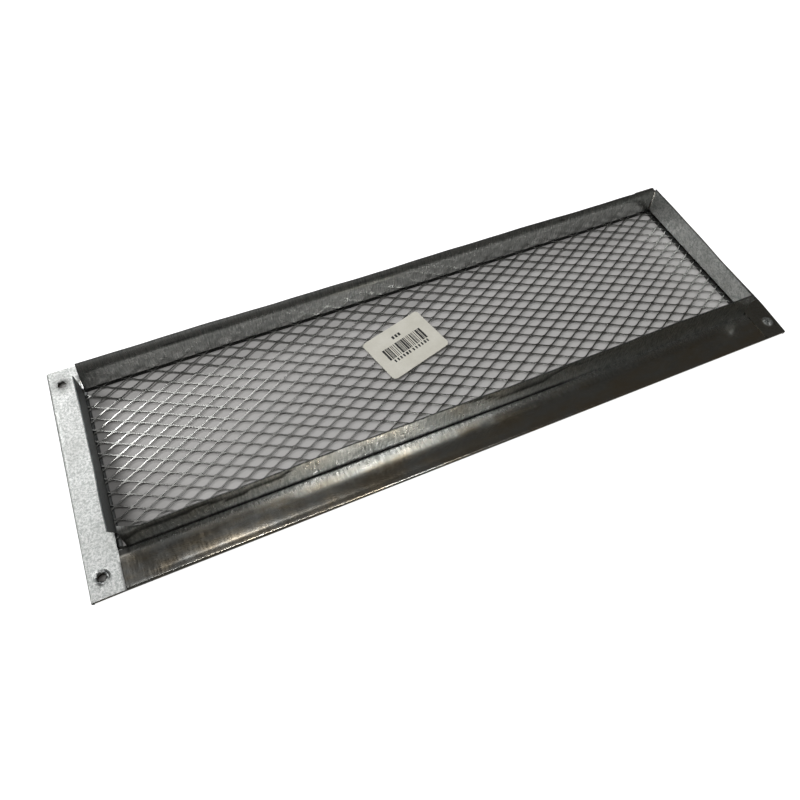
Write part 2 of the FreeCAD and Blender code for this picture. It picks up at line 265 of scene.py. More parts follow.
def bulge(rail, x, y, z, foot_z, fold_out):
    """Leaning, wavy walls, a slack upper leaf and a drooping outer edge."""
    reach = clamp((rail["calm"] - abs(x)) / CALM_FADE)
    upper = z > rail["stack"] - SHEET
    lift = reach * channel(rail, y, z, foot_z) if upper and rail["pinch"] else 0.0
    if z > foot_z:
        up = (z - foot_z) / (HEIGHT - foot_z)
        lean = max(0.0, (z - FLARE_FOOT) / (HEIGHT - FLARE_FOOT)) ** FLARE_CURVE
        y += lean * rail["lean_slope"] * x / rail["half"]
        y += up * (rail["tilt"][0] + rail["tilt"][1] * x / rail["half"])
        y += up * wave(x, rail["seed"], rail["wall_wave"])
        return x, y, z + lift
    across = (y - BEND - SHEET) / (fold_out - BEND - SHEET)
    if upper and 0 < across < 1:
        slack = math.sin(math.pi * across) ** 2
        lift += reach * slack * wave(x, rail["seed"] + 1, rail["leaf_wave"])
        lift -= reach * rail["droop"] * max(
            0.0, (across - DROOP_START) / DROOP_RUN) ** 2
        lift += dimple(rail, x, y)
    return x, y, z + lift


def dog_ear(rail, x, y, z):
    """The top corner at one end of the wall is bent over inwards."""
    if not rail["dog_ear"]:
        return x, y, z
    past = (x - rail["top_ends"][1]) * EAR_SLANT + (z - HEIGHT) + EAR_SIZE
    if past > 0:
        y -= EAR_IN * past
        z -= EAR_DOWN * past
    return x, y, z


# At its right end the front of the vent has sprung outward by SKEW, less so at
# the wall's top, and the corner tab there tapers in by TAPER.
SKEW = 3.4
SKEW_LOST_HIGH = 0.45
SKEW_LENGTH = 2 * HALF_LENGTH + 15
SKEW_FROM_Y = -36
SKEW_RUN_Y = 6
SKEW_FROM_Z = 2.5
TAPER = 1.6
TAPER_FROM_X = 165
TAPER_RUN_X = 22
TAPER_FROM_Y = -40
TAPER_RUN_Y = 21


def set_askew(obj):
    """Swing the sprung front outward and taper the corner tab."""
    for vertex in obj.data.vertices:
        x, y, z = vertex.co / MM
        along = clamp((x + HALF_LENGTH) / SKEW_LENGTH)
        front = smooth(clamp((SKEW_FROM_Y - y) / SKEW_RUN_Y))
        high = clamp((z - SKEW_FROM_Z) / (HEIGHT - SKEW_FROM_Z))
        corner = (max(0.0, (x - TAPER_FROM_X) / TAPER_RUN_X)
                  * max(0.0, (TAPER_FROM_Y - y) / TAPER_RUN_Y))
        vertex.co.y -= SKEW * MM * along * front * (1 - SKEW_LOST_HIGH * high)
        vertex.co.x -= TAPER * MM * corner


# --------------------------------------------------------- rails: nail holes

HOLE_RINGS = (3.5, 3.1, 2.75, 2.4, 2.15, NAIL_R)

# The torn rim stands up inside RIM_START, in PETALS petals; a low swell of
# pushed-up metal runs round it at SWELL_R.
PETALS = 5
PETAL_SEED = 7
PETAL_SWING = 0.12
RAGS = 11
RAG_HEIGHT = 0.25
RIM_START = 3.2
RIM_RUN = 1.2
RIM_CURVE = 1.7
RIM_HEIGHT = 0.8
RIM_LEAST = 0.12
SWELL_R = 2.9
SWELL_WIDTH = 0.3
SWELL_HEIGHT = 0.5
SWELL_MEAN = 0.65
SWELL_SWING = 0.35


def torn_rim(angle, radius, seed):
    """Height of the torn rim round a pierced hole: a few ragged petals."""
    rng = random.Random(seed)
    turn = rng.uniform(0, 2 * math.pi)
    petals = 0.5 + 0.5 * math.cos(PETALS * angle + turn)
    ragged = RAG_HEIGHT * math.cos(RAGS * angle + 2 * turn)
    inward = max(0.0, (RIM_START - radius) / RIM_RUN)
    return max(RIM_LEAST, petals + ragged) * RIM_HEIGHT * inward ** RIM_CURVE


def hole_ring(verts, loop, centre, seed, burr, close):
    """Rings of faces from a square gap in the grid in to a round torn hole."""
    rng = random.Random(seed + PETAL_SEED)
    turn = rng.uniform(0, 2 * math.pi)
    faces = []
    before = loop
    for ring_radius in HOLE_RINGS:
        shrunk = HOLE_RINGS[0] - (HOLE_RINGS[0] - ring_radius) * close
        ring = []
        for index in loop:
            x, y, z = verts[index]
            angle = math.atan2(y - centre[1], x - centre[0])
            radius = shrunk
            lift = 0.0
            if burr:
                inner = (HOLE_RINGS[0] - ring_radius) / (HOLE_RINGS[0] - NAIL_R)
                radius += inner * PETAL_SWING * math.cos(PETALS * angle + turn)
                lift = burr * torn_rim(angle, ring_radius, seed)
                swell = SWELL_MEAN + SWELL_SWING * math.cos(2 * angle + turn)
                lift += SWELL_HEIGHT * burr * swell * math.exp(
                    -((ring_radius - SWELL_R) / SWELL_WIDTH) ** 2)
            ring.append(len(verts))
            verts.append((centre[0] + radius * math.cos(angle),
                          centre[1] + radius * math.sin(angle), z + lift))
        for k in range(len(loop)):
            after = (k + 1) % len(loop)
            faces.append((before[k], before[after], ring[after], ring[k]))
        before = ring
    return faces


def block_loop(index, i0, i1, j0, j1):
    """Grid indices round a block of cells, in face order."""
    loop = [index[i, j0] for i in range(i0, i1)]
    loop += [index[i1, j] for j in range(j0, j1)]
    loop += [index[i, j1] for i in range(i1, i0, -1)]
    loop += [index[i0, j] for j in range(j1, j0, -1)]
    return loop


def nearest(values, target):
    return min(range(len(values)), key=lambda k: abs(values[k] - target))


def hole_blocks(rail, xs, profile, foot, upper_end, lower_start):
    """Grid ranges round each nail hole, in the upper and the lower leaf."""
    blocks = []
    out = rail["nail_out"]
    for side, burr, close in zip((-1, 1), rail["burrs"], rail["petals"]):
        hole = side * rail["nail_along"]
        i0 = nearest(xs, hole - BLOCK)
        i1 = nearest(xs, hole + BLOCK)
        upper = [profile[j][0] for j in range(foot, upper_end + 1)]
        j0 = foot + nearest(upper, out - BLOCK)
        j1 = foot + nearest(upper, out + BLOCK)
        blocks.append((i0, i1, j0, j1, (hole, out), burr, close))
        if rail["lower_holes"]:
            lower = [profile[j][0] for j in range(lower_start, len(profile))]
            j0 = lower_start + nearest(lower, out + BLOCK)
            j1 = lower_start + nearest(lower, out - BLOCK)
            blocks.append((i0, i1, j0, j1, (hole, out), 0.0, 1))
    return blocks


# ------------------------------------------------------ rails: painted shade, darkening and wear

# Painted shade and darkening: how black it is in the seam at the foot of the wall, on
# the darkened cut top edge, on the torn end of the bent corner, in the notch and
# round a pressed hole; the seam, the torn end and the notch are painted shade.
SEAM_OUT = 1.05
SEAM_FADE = 0.25
SEAM_SHADE_LOST_SHARE = 0.9
SEAM_SHADE_LOST_RUN = 45
TOP_EDGE = 0.12
TOP_EDGE_REACH = 6
TOP_EDGE_DARK = 0.75
TORN_END = 1.2
TORN_END_OUT = 3.4
TORN_END_SHADE = 0.95
NOTCH_OUT = 2.8
NOTCH_TOP = 2.0
NOTCH_SHADE = 0.9
PRESSED_DARK = 0.85
PRESSED_REACH = 4.4
PRESSED_FROM_Y = 5
BENT_IN = -0.3
BENT_LENGTH = 10

# Tarnish: where the wall is told from the leaf, how far from the wall it grows,
# and the bright bare metal round a torn hole. On the left end rail the wall is
# painted darker instead, as painted shade.
WALL_SKIN = 0.1
WALL_ABOVE = 0.3
TARNISH_RUN = 6.0
BARE_R = 2.7
BARE_FADE = 0.6


def shade_and_grime_at(rail, x, y, z):
    low, fade = rail["shade_and_grime"]
    low += rail["stack"] + BEND
    # Painted shade: darker down the wall towards its foot, and in the seam beside the
    # foot.
    if y < SHEET + BEND:
        depth = clamp(1 - (z - low) / fade)
    else:
        depth = clamp((SEAM_OUT - y) / SEAM_FADE)
    # Along part of a rail the painted seam shade fades nearly away.
    depth *= 1 - SEAM_SHADE_LOST_SHARE * clamp((-x - rail["seam_shade_lost_past"]) / SEAM_SHADE_LOST_RUN)
    # The cut top edge is darkened.
    if z > HEIGHT - TOP_EDGE and abs(y) < TOP_EDGE_REACH:
        depth = TOP_EDGE_DARK
    end = rail["foot_ends"][1]
    # Painted shade in the gap at the torn end of the bent corner.
    if rail["dog_ear"] and x > end - TORN_END and y < TORN_END_OUT:
        depth = TORN_END_SHADE
    start, stop = rail["notch"]
    # Painted shade in the open notch.
    if start < x < stop and y < NOTCH_OUT and z < NOTCH_TOP:
        depth = NOTCH_SHADE
    # Darkened round the pressed holes.
    if z > rail["stack"] - 2 * SHEET and y > PRESSED_FROM_Y:
        for along, _ in rail["dimples"]:
            off = math.hypot(x - along, y - rail["nail_out"])
            depth = max(depth, PRESSED_DARK * math.exp(-(off / PRESSED_REACH) ** 2))
    if rail["dog_ear"] and y < BENT_IN and x > end - BENT_LENGTH:
        depth = 0.0
    return smooth(depth)


def tarnish_and_shade_at(rail, x, y, z):
    on_wall = y < SHEET + WALL_SKIN or z > rail["stack"] + BEND + WALL_ABOVE
    # The left end rail's wall is painted darker all over: painted shade.
    if rail["tarnish_and_shade"] == "wall":
        return 1.0 if on_wall else 0.0
    if on_wall:
        return 0.0
    bare = 1.0
    if any(rail["burrs"]):
        off = math.hypot(abs(x) - rail["nail_along"], y - rail["nail_out"])
        bare = clamp((off - BARE_R) / BARE_FADE)
    return bare * clamp((y - rail["tarnish_past"]) / TARNISH_RUN)


def mark_shade_and_wear(obj, rail):
    """Store on the mesh the painted shade and darkening, the tarnish, and the painted
    shade on the left end rail's wall.
    """
    places = [tuple(vertex.co / MM) for vertex in obj.data.vertices]
    for name, amount in (("shade_and_grime", shade_and_grime_at), ("tarnish_and_shade", tarnish_and_shade_at)):
        layer = obj.data.attributes.new(name, "FLOAT", "POINT")
        layer.data.foreach_set("value", [amount(rail, *place) for place in places])


# ---------------------------------------------------------- rails: the four

def drop_unused(verts, faces):
    used = sorted({v for face in faces for v in face})
    new = {old: k for k, old in enumerate(used)}
    return [verts[v] for v in used], [tuple(new[v] for v in face) for face in faces]


def within(x, ends):
    return ends[0] - SAME <= x <= ends[1] + SAME


def rail_grid(rail, xs, profile, foot, lower_start):
    """Vertices of a rail and their numbers by (station, profile point)."""
    foot_z = rail["stack"] + BEND
    fold_out = rail["flange"] - rail["stack"] / 2
    foot_a, foot_b = rail["foot_ends"]
    top_a, top_b = rail["top_ends"]
    verts = []
    index = {}
    for i, x in enumerate(xs):
        for j, (y, z) in enumerate(profile):
            on_wall = j < foot
            if on_wall and not within(x, rail["foot_ends"]):
                continue
            if j > lower_start and not within(x, rail["leaf_ends"]):
                continue
            px = x
            if on_wall:
                up = clamp((z - foot_z) / (HEIGHT - foot_z))
                start = foot_a + (top_a - foot_a) * up
                stop = foot_b + (top_b - foot_b) * up
                px = start + (x - foot_a) / (foot_b - foot_a) * (stop - start)
            point = bulge(rail, px, y, z, foot_z, fold_out)
            if on_wall:
                point = dog_ear(rail, *point)
            index[i, j] = len(verts)
            verts.append(point)
    return verts, index


def build_rail(rail):
    profile, foot, upper_end, lower_start = rail_profile(rail)
    xs = stations_along(rail)
    verts, index = rail_grid(rail, xs, profile, foot, lower_start)
    blocks = hole_blocks(rail, xs, profile, foot, upper_end, lower_start)
    skipped = set()
    for i0, i1, j0, j1, *_ in blocks:
        skipped |= {(i, j) for i in range(i0, i1) for j in range(j0, j1)}
    faces = []
    for i in range(len(xs) - 1):
        for j in range(len(profile) - 1):
            cell = [(i, j), (i + 1, j), (i + 1, j + 1), (i, j + 1)]
            if (i, j) not in skipped and all(c in index for c in cell):
                faces.append(tuple(index[c] for c in cell))
    for i0, i1, j0, j1, centre, burr, close in blocks:
        loop = block_loop(index, i0, i1, j0, j1)
        faces += hole_ring(verts, loop, centre, rail["seed"] + i0, burr, close)
    verts, faces = drop_unused(verts, faces)
    obj = make_object(rail["name"], verts, faces)
    thicken(obj, SHEET, RAIL_SHARP)
    mark_shade_and_wear(obj, rail)
    turn_and_shift(obj, rail["turn"], rail["at"])
    set_askew(obj)
    return obj


# What a rail's entries mean, in the rail's own axes:
#   half                   half its length
#   foot_ends, top_ends    where the wall's foot and the wall's top start and stop
#   leaf_ends              where the lower leaf starts and stops
#   stack, flange          height of the folded flange, and how far it stands out
#   lip                    how far the lower leaf reaches in under the screen
#   flare, lean_slope      how far the wall's top leans out, and how that changes
#   tilt                   how far the whole wall leans, and how that changes
#   pinch, droop           depth of the pressed channel, sag of the outer edge
#   calm                   past this there is no channel, slack or sag
#   burrs, petals          height of each hole's torn rim, and how far it closes
#   dimples                place and depth of each pressed hole
#   shade_and_grime,       where the painted black seam shade ends and how it fades,
#   seam_shade_lost_past   and past where that painted shade has nearly faded away
#   tarnish_and_shade, tarnish_past  the side that is darkened, and from where:
#   painted shade on the left end rail's wall, tarnish on a leaf
#   notch                  where the leaf is painted black, as painted shade, at the open corner
#   turn, at               how the rail stands in the vent

LONG_HALF = HALF_LENGTH + 13.9
END_HALF = 61.05
NO_NOTCH = (0.0, 0.0)
NEVER = 200.0

LONG = {
    "stack": 2.0, "lip": 0.4, "half": LONG_HALF, "burrs": (0, 0),
    "leaf_ends": (-LONG_HALF, LONG_HALF), "nail_along": NAIL_X,
    "lower_holes": True, "calm": 167.0, "pinch": 0.08, "petals": (1, 1),
    "tarnish_and_shade": "leaf", "tarnish_past": 1.0, "seam_shade_lost_past": NEVER,
    "notch": NO_NOTCH,
    "wall_wave": ((171.0, 0.25), (64.0, 0.12), (23.0, 0.05)),
    "leaf_wave": ((190.0, 0.10), (47.0, 0.05), (17.0, 0.025)),
}
END = {
    "stack": 2.5, "flange": 15.4, "flare": 0.2, "half": END_HALF,
    "nail_along": NAIL_Y, "nail_out": NAIL_X - HALF_LENGTH, "lean_slope": 0.0,
    "lower_holes": False, "dog_ear": False, "calm": 61.0, "pinch": 0.0,
    "droop": 0.0, "tarnish_past": -5.0, "seam_shade_lost_past": NEVER,
    "notch": NO_NOTCH, "shade_and_grime": (-0.9, 0.5),
    "wall_wave": ((90.0, 0.2), (31.0, 0.08)),
    "leaf_wave": ((70.0, 0.12), (21.0, 0.05)),
}

RAILS = [
    dict(LONG, name="front_rail_sheet", node="front_rail", seed=11, turn=180,
         flange=18.7, at=(0, FRONT_WALL_Y), nail_out=NAIL_Y + FRONT_WALL_Y,
         foot_ends=(1.0 - HALF_LENGTH, HALF_LENGTH - 3.2),
         top_ends=(1.0 - HALF_LENGTH, HALF_LENGTH - 3.2), dog_ear=True,
         flare=0.1, lean_slope=0.0, tilt=(0.3, 0.0), droop=0.33, dimples=(),
         shade_and_grime=(0.0, 1.2), seam_shade_lost_past=40.0),
    dict(LONG, name="rear_rail_sheet", node="rear_rail", seed=23, turn=0,
         flange=15.8, at=(0, REAR_WALL_Y), nail_out=NAIL_Y - REAR_WALL_Y,
         foot_ends=(0.4 - HALF_LENGTH, HALF_LENGTH - 1.0),
         top_ends=(1.4 - HALF_LENGTH, HALF_LENGTH - 1.0), dog_ear=False,
         flare=2.9, lean_slope=-0.9, tilt=(0.0, 0.0), droop=0.0,
         dimples=((-NAIL_X, 0.4),), shade_and_grime=(-0.7, 0.6)),
    dict(END, name="left_end_rail_sheet", node="left_end_rail", seed=37, turn=90,
         at=(-HALF_LENGTH, 0), leaf_ends=(-41.7, 44.6), lip=1.0,
         foot_ends=(FRONT_WALL_Y + 7.4, REAR_WALL_Y - 1.0),
         top_ends=(FRONT_WALL_Y + 1.4, REAR_WALL_Y - 2.8),
         burrs=(1.5, 0.15), petals=(1, 1), tilt=(0.0, 0.0), tarnish_and_shade="wall",
         notch=(-44.4, -36.5), dimples=((NAIL_Y, 0.4),)),
    dict(END, name="right_end_rail_sheet", node="right_end_rail", seed=41, turn=-90,
         at=(HALF_LENGTH, 0), leaf_ends=(-44.6, 41.7), lip=1.4,
         foot_ends=(0.8 - REAR_WALL_Y, -FRONT_WALL_Y - 2.8),
         top_ends=(-0.6 - REAR_WALL_Y, 3.6 - FRONT_WALL_Y),
         burrs=(0.8, 1.3), petals=(1, 1.85), tilt=(-1.3, -1.4), tarnish_and_shade="leaf",
         dimples=()),
]


# -------------------------------------------------------------------- screen

DIAMOND_LONG = 12.7
DIAMOND_SHORT = 6.94
FIRST_BOND = (-4.6, -0.69)
SCREEN_ROWS = range(-15, 17)
SCREEN_COLUMNS = range(-15, 16)
SCREEN_Y = (-49.0, 52.0)
SCREEN_HALF_X = 176.4
SCREEN_MID = 0.98
SCREEN_SEED = 5
UNEVEN = (0.06, 0.07, 0.03)

STRAND = 0.88
STRAND_SHEET = 0.38
TILT = math.radians(-4)
BOND_HALF = 0.75
BOND_EDGE = 0.9
STRAND_STEPS = 6
STRAND_CURVE = 0.22
STRAND_EASE = 0.13


def screen_nodes():
    """Bond centres in staggered rows, each a little off its true place."""
    rng = random.Random(SCREEN_SEED)
    nodes = {}
    for row in SCREEN_ROWS:
        y = FIRST_BOND[1] + row * DIAMOND_SHORT / 2
        if not SCREEN_Y[0] <= y <= SCREEN_Y[1]:
            continue
        stagger = 0.0 if row % 2 == 0 else DIAMOND_LONG / 2
        for column in SCREEN_COLUMNS:
            x = FIRST_BOND[0] + stagger + column * DIAMOND_LONG
            if abs(x) > SCREEN_HALF_X:
                continue
            nodes[2 * column + row % 2, row] = tuple(
                c + rng.gauss(0, off)
                for c, off in zip((x, y, SCREEN_MID), UNEVEN))
    return nodes


def bond_points(node):
    """Centre line, upper edge and lower edge of one tilted bond."""
    x, y, z = node
    rise_y = STRAND * math.cos(TILT)
    rise_z = STRAND * math.sin(TILT)
    line = []
    for shift_y, shift_z, half in (
            (0, 0, BOND_HALF), (rise_y, rise_z, BOND_HALF * BOND_EDGE),
            (-rise_y, -rise_z, BOND_HALF * BOND_EDGE)):
        line.append([(x + k * half, y + shift_y, z + shift_z) for k in (-1, 0, 1)])
    return line


def strand_faces(verts, low_a, up_a, low_b, up_b):
    """Ribbon from one bond's side (low_a, up_a) to the next (low_b, up_b).

    It leaves each bond along the bond's own line and turns in between, which
    rounds the corners of the diamonds.
    """
    faces = []
    before = (low_a, up_a)
    for step in range(1, STRAND_STEPS + 1):
        if step == STRAND_STEPS:
            after = (low_b, up_b)
        else:
            t = step / STRAND_STEPS
            turned = t + STRAND_CURVE * (smooth(t) - t)
            for start, stop in ((low_a, low_b), (up_a, up_b)):
                verts.append(tuple(
                    a + (b - a) * e
                    for a, b, e in zip(verts[start], verts[stop], (t, turned, t))))
            after = (len(verts) - 2, len(verts) - 1)
        faces.append((before[0], after[0], after[1], before[1]))
        before = after
    return faces


def build_screen():
    verts = []
    faces = []
    bonds = {}
    for key, node in screen_nodes().items():
        centre, upper, lower = bond_points(node)
        base = len(verts)
        verts.extend(centre + upper + lower)
        c, u, d = ([base + 3 * k + n for n in range(3)] for k in range(3))
        bonds[key] = (c, u, d)
        for n in (0, 1):
            faces.append((c[n], c[n + 1], u[n + 1], u[n]))
            faces.append((d[n], d[n + 1], c[n + 1], c[n]))
    for (column, row), (c, u, _) in bonds.items():
        right = bonds.get((column + 1, row + 1))
        left = bonds.get((column - 1, row + 1))
        if right:
            faces += strand_faces(verts, c[2], u[2], right[2][0], right[0][0])
        if left:
            faces += [f[::-1] for f in strand_faces(
                verts, c[0], u[0], left[2][2], left[0][2])]
    obj = make_object("screen_strands", verts, faces)
    thicken(obj, STRAND_SHEET, FINE_SHARP, rounding=STRAND_EASE)
    return obj


# --------------------------------------------------------------------- label

LABEL = (38.0, 28.0)
LABEL_RADIUS = 2.5
LABEL_GRID = (56, 42)
LABEL_AT = (-13.0, 9.2)
LABEL_TURN = 15.5
LABEL_Z = 1.5
PAPER = 0.1
PAPER_LIFT = 0.06
INK = 0.02
INK_LIFT = 0.125
RIPPLE = 0.05
RIPPLE_U = 0.55
RIPPLE_V = 0.8
CURL = 1.6
CURL_START = 1.35


def label_height(u, v):
    """The paper follows the strands loosely and lifts at one corner."""
    ripple = RIPPLE * math.sin(u * RIPPLE_U) * math.cos(v * RIPPLE_V)
    corner = max(0.0, (2 * u / LABEL[0] + 2 * v / LABEL[1]) - CURL_START) ** 2 * CURL
    return ripple + corner


def inside_label(a, b):
    """Point of the rounded label at grid place (a, b), each from -1 to 1.

    Rings of the grid keep the label's own outline, drawn smaller.
    """
    ring = max(abs(a), abs(b))
    if ring == 0:
        return 0.0, 0.0
    u = a / ring * LABEL[0] / 2
    v = b / ring * LABEL[1] / 2
    straight_u = LABEL[0] / 2 - LABEL_RADIUS
    straight_v = LABEL[1] / 2 - LABEL_RADIUS
    du = abs(u) - straight_u
    dv = abs(v) - straight_v
    if du > 0 and dv > 0:
        reach = LABEL_RADIUS / math.hypot(du, dv)
        u = math.copysign(straight_u + du * reach, u)
        v = math.copysign(straight_v + dv * reach, v)
    return u * ring, v * ring


def build_label():
    columns, rows = LABEL_GRID
    verts = []
    faces = []
    for i in range(columns + 1):
        for j in range(rows + 1):
            u, v = inside_label(2 * i / columns - 1, 2 * j / rows - 1)
            verts.append((u, v, LABEL_Z + PAPER_LIFT + label_height(u, v)))
    stride = rows + 1
    for i in range(columns):
        for j in range(rows):
            a = i * stride + j
            faces.append((a, a + stride, a + stride + 1, a + 1))
    obj = make_object("label_sheet", verts, faces)
    thicken(obj, PAPER, FINE_SHARP)
    turn_and_shift(obj, LABEL_TURN, LABEL_AT)
    return obj


# The print, in the label's own axes: bars across the middle, a row of dashes
# below them and three dashes above.
PRINT_SEED = 9
BARS_U = (-13.0, 13.0)
BARS_V = (-3.4, 4.2)
BARS_STOP = 12.6
BAR_WIDTHS = (0.35, 0.45, 0.8, 1.2)
BAR_GAPS = (0.3, 0.3, 0.5, 0.8)
DASH_COUNT = 12
DASH_U = -11.4
DASH_PITCH = 1.95
DASH_BREAK = 0.6
DASH_WIDTHS = (0.9, 1.2)
DASH_V = (-5.9, -4.0)
TOP_DASHES = (-3.2, -1.2, 0.8)
TOP_DASH = 1.3
TOP_DASH_V = (6.6, 8.6)


def bar_strip(verts, faces, u0, u1, v0, v1):
    """One printed mark: a strip of ink that follows the paper."""
    steps = max(1, round(v1 - v0))
    before = None
    for k in range(steps + 1):
        v = v0 + (v1 - v0) * k / steps
        pair = (len(verts), len(verts) + 1)
        for u in (u0, u1):
            verts.append((u, v, LABEL_Z + INK_LIFT + label_height(u, v)))
        if before:
            faces.append((before[0], before[1], pair[1], pair[0]))
        before = pair


def build_print():
    """Generic bars of random widths, with rows of plain dashes for text."""
    rng = random.Random(PRINT_SEED)
    verts = []
    faces = []
    u, last = BARS_U
    while u < BARS_STOP:
        width = rng.choice(BAR_WIDTHS)
        bar_strip(verts, faces, u, min(u + width, last), *BARS_V)
        u += width + rng.choice(BAR_GAPS)
    for k in range(DASH_COUNT):
        start = DASH_U + DASH_PITCH * k + (DASH_BREAK if k >= DASH_COUNT / 2 else 0.0)
        bar_strip(verts, faces, start, start + rng.choice(DASH_WIDTHS), *DASH_V)
    for start in TOP_DASHES:
        bar_strip(verts, faces, start, start + TOP_DASH, *TOP_DASH_V)
    obj = make_object("label_print", verts, faces)
    thicken(obj, INK, FINE_SHARP)
    turn_and_shift(obj, LABEL_TURN, LABEL_AT)
    return obj


# ----------------------------------------------------- materials: node helpers

def new_material(name):
    material = bpy.data.materials.new(name)
    material.use_nodes = True
    tree = material.node_tree
    return material, tree, tree.nodes["Principled BSDF"]


def link(tree, source, target):
    tree.links.new(source, target)


def noise(tree, vector, scale, detail=3.0, roughness=0.55, distortion=0.0):
    made = tree.nodes.new("ShaderNodeTexNoise")
    made.inputs["Scale"].default_value = scale
    made.inputs["Detail"].default_value = detail
    made.inputs["Roughness"].default_value = roughness
    made.inputs["Distortion"].default_value = distortion
    link(tree, vector, made.inputs["Vector"])
    return made.outputs["Fac"]


def stretched(tree, scale=(1, 1, 1)):
    """Object coordinates, scaled along each axis."""
    place = tree.nodes.new("ShaderNodeTexCoord")
    mapping = tree.nodes.new("ShaderNodeMapping")
    mapping.inputs["Scale"].default_value = scale
    link(tree, place.outputs["Object"], mapping.inputs["Vector"])
    return mapping.outputs["Vector"]


def remap(tree, source, given, wanted):
    """Stretch the given range of a value to the wanted one."""
    made = tree.nodes.new("ShaderNodeMapRange")
    for name, value in zip(("From Min", "From Max", "To Min", "To Max"),
                           (*given, *wanted)):
        made.inputs[name].default_value = value
    link(tree, source, made.inputs["Value"])
    return made.outputs["Result"]


def calc(tree, operation, first, second):
    made = tree.nodes.new("ShaderNodeMath")
    made.operation = operation
    for socket, value in zip(made.inputs, (first, second)):
        if isinstance(value, (int, float)):
            socket.default_value = value
        else:
            link(tree, value, socket)
    return made.outputs[0]


def weighted(tree, *parts):
    """Sum of values, each times its own weight."""
    (source, weight), *rest = parts
    share = calc(tree, "MULTIPLY", source, weight)
    return calc(tree, "ADD", share, weighted(tree, *rest)) if rest else share


def ramp(tree, source, *stops):
    """Colour ramp through (position, colour) stops."""
    made = tree.nodes.new("ShaderNodeValToRGB")
    elements = made.color_ramp.elements
    while len(elements) < len(stops):
        elements.new(0.5)
    for element, (position, colour) in zip(elements, stops):
        element.position = position
        element.color = (*colour, 1)
    link(tree, source, made.inputs["Fac"])
    return made.outputs["Color"]


def stored(tree, name):
    """Value kept on the mesh itself, such as grime."""
    made = tree.nodes.new("ShaderNodeAttribute")
    made.attribute_name = name
    return made.outputs["Fac"]


def blend(tree, factor, colour, towards):
    """Mix a colour, fixed or from a node, towards a fixed one."""
    made = tree.nodes.new("ShaderNodeMix")
    made.data_type = "RGBA"
    link(tree, factor, made.inputs["Factor"])
    if isinstance(colour, tuple):
        made.inputs["A"].default_value = (*colour, 1)
    else:
        link(tree, colour, made.inputs["A"])
    made.inputs["B"].default_value = (*towards, 1)
    return made.outputs["Result"]


def away_from(tree, centre, reach):
    """Distance from a place on the vent, in units of the reach each way."""
    made = tree.nodes.new("ShaderNodeVectorMath")
    made.operation = "DISTANCE"
    link(tree, stretched(tree, (1 / reach[0], 1 / reach[1], 0.01)), made.inputs[0])
    made.inputs[1].default_value = (centre[0] / reach[0], centre[1] / reach[1], 0)
    return made.outputs["Value"]


def bump(tree, height, strength, distance):
    made = tree.nodes.new("ShaderNodeBump")
    made.inputs["Strength"].default_value = strength
    made.inputs["Distance"].default_value = distance
    link(tree, height, made.inputs["Height"])
    return made.outputs["Normal"]


# ------------------------------------------------------------------ materials

SHADE_AND_GRIME_BLACK = (0.03, 0.03, 0.028)
TARNISH_GREY = (0.47, 0.475, 0.46)
STAIN_BROWN = (0.50, 0.43, 0.32)
STRAND_SHADE_GREY = (0.24, 0.24, 0.23)
INK_BLACK = (0.018, 0.018, 0.02)
INK_THIN = (0.10, 0.098, 0.09)
PAPER_DARK = (0.74, 0.72, 0.63)
PAPER_LIGHT = (0.84, 0.82, 0.735)
LEFT_WALL_SHADE = (0.24, 0.26, 0.265)
WORN_RIGHT = (0.13, 0.115, 0.09)


def spangled_zinc(name, gain, blotch, tarnish_and_shade_tone):
    """Dull zinc with mottled spangle for the end rails, darker where tarnished, and
    on the left end rail's wall painted darker as painted shade.
    """
    def tinted(*colour):
        return tuple(c * gain for c in colour)

    material, tree, shader = new_material(name)
    shader.inputs["Metallic"].default_value = 1.0
    place = stretched(tree)
    grains = noise(tree, place, scale=850.0, roughness=0.7)
    patches = noise(tree, place, scale=blotch, detail=4.0, roughness=0.7,
                    distortion=1.8)
    stains = noise(tree, place, scale=34.0, detail=2.0)
    mottle = weighted(tree, (grains, 0.5), (patches, 0.5))
    tone = ramp(tree, mottle, (0.43, tinted(0.39, 0.41, 0.40)),
                (0.49, tinted(0.53, 0.545, 0.535)),
                (0.56, tinted(0.68, 0.685, 0.675)))
    tone = blend(tree, remap(tree, stains, (0.35, 0.75), (0.0, 0.35)), tone,
                 tinted(0.36, 0.36, 0.34))
    # Tarnish on the right end rail's leaf; painted shade on the left end rail's wall.
    tone = blend(tree, weighted(tree, (stored(tree, "tarnish_and_shade"), 0.85)), tone, tarnish_and_shade_tone)
    # Painted shade at the wall's foot and in the notch, and darkening on the cut top
    # edge and round a pressed hole.
    tone = blend(tree, weighted(tree, (stored(tree, "shade_and_grime"), 0.8)), tone,
                 SHADE_AND_GRIME_BLACK)
    link(tree, tone, shader.inputs["Base Color"])
    link(tree, remap(tree, mottle, (0.38, 0.60), (0.56, 0.42)),
         shader.inputs["Roughness"])
    link(tree, bump(tree, mottle, strength=0.3, distance=0.0004),
         shader.inputs["Normal"])
    return material


